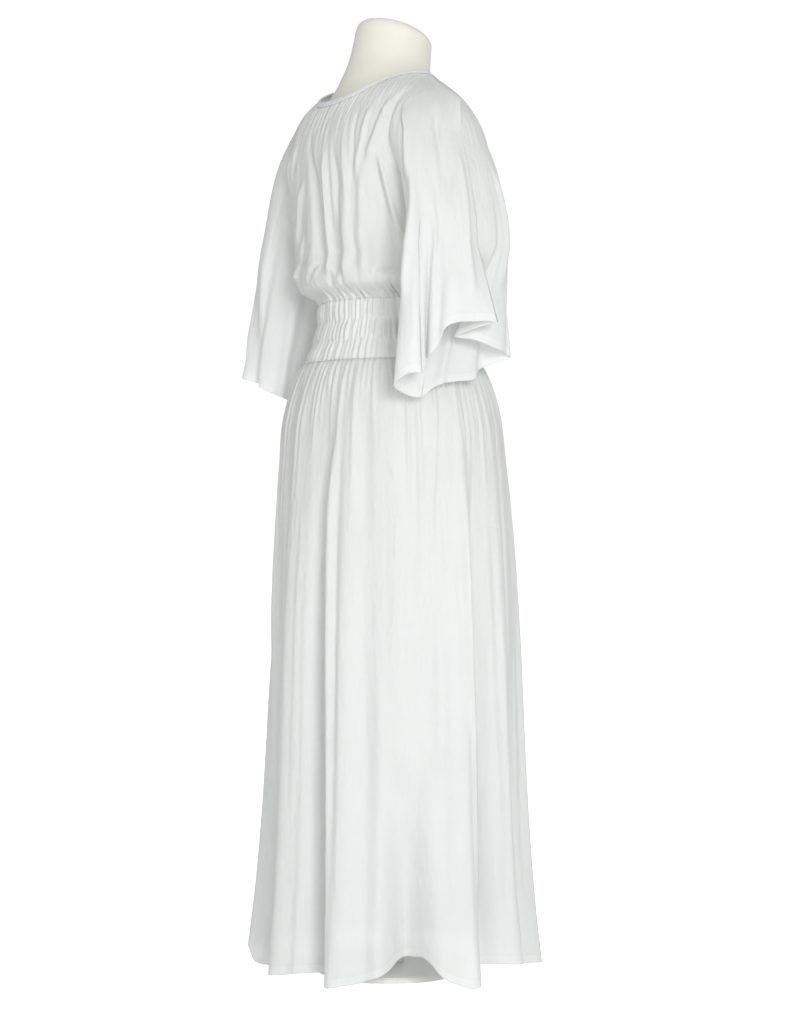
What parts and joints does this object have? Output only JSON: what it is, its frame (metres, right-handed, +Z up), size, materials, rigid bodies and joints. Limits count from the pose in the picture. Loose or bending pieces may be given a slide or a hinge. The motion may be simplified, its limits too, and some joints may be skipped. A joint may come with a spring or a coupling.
{
  "type": "linen dress on a limbless dress form",
  "caption": "Long linen dress with wide cut-in-one half sleeves, a shirred elastic waist and a gathered skirt, worn on a limbless dress form with a pole and round foot.",
  "frame": {"origin": "centre of the foot's underside, on the floor", "axes": "+Z up along the pole; the form faces -Y; the wearer's left is +X"},
  "size_m": [0.5768, 0.4203, 1.4977],
  "materials": {
    "linen": "washed, slightly sheer plain weave",
    "form_cover": "smooth cream jersey over a firm shell",
    "stand_metal": "satin white paint"
  },
  "bodies": {
    "root": {"bodice_back": "linen", "bodice_front": "linen", "neck_binding": "linen", "neck_placket": "linen", "waistband_back": "linen", "waistband_front": "linen", "skirt_back": "linen", "skirt_front": "linen", "dress_form": "form_cover", "stand_pole": "stand_metal", "stand_foot": "stand_metal"}
  },
  "joints": []
}
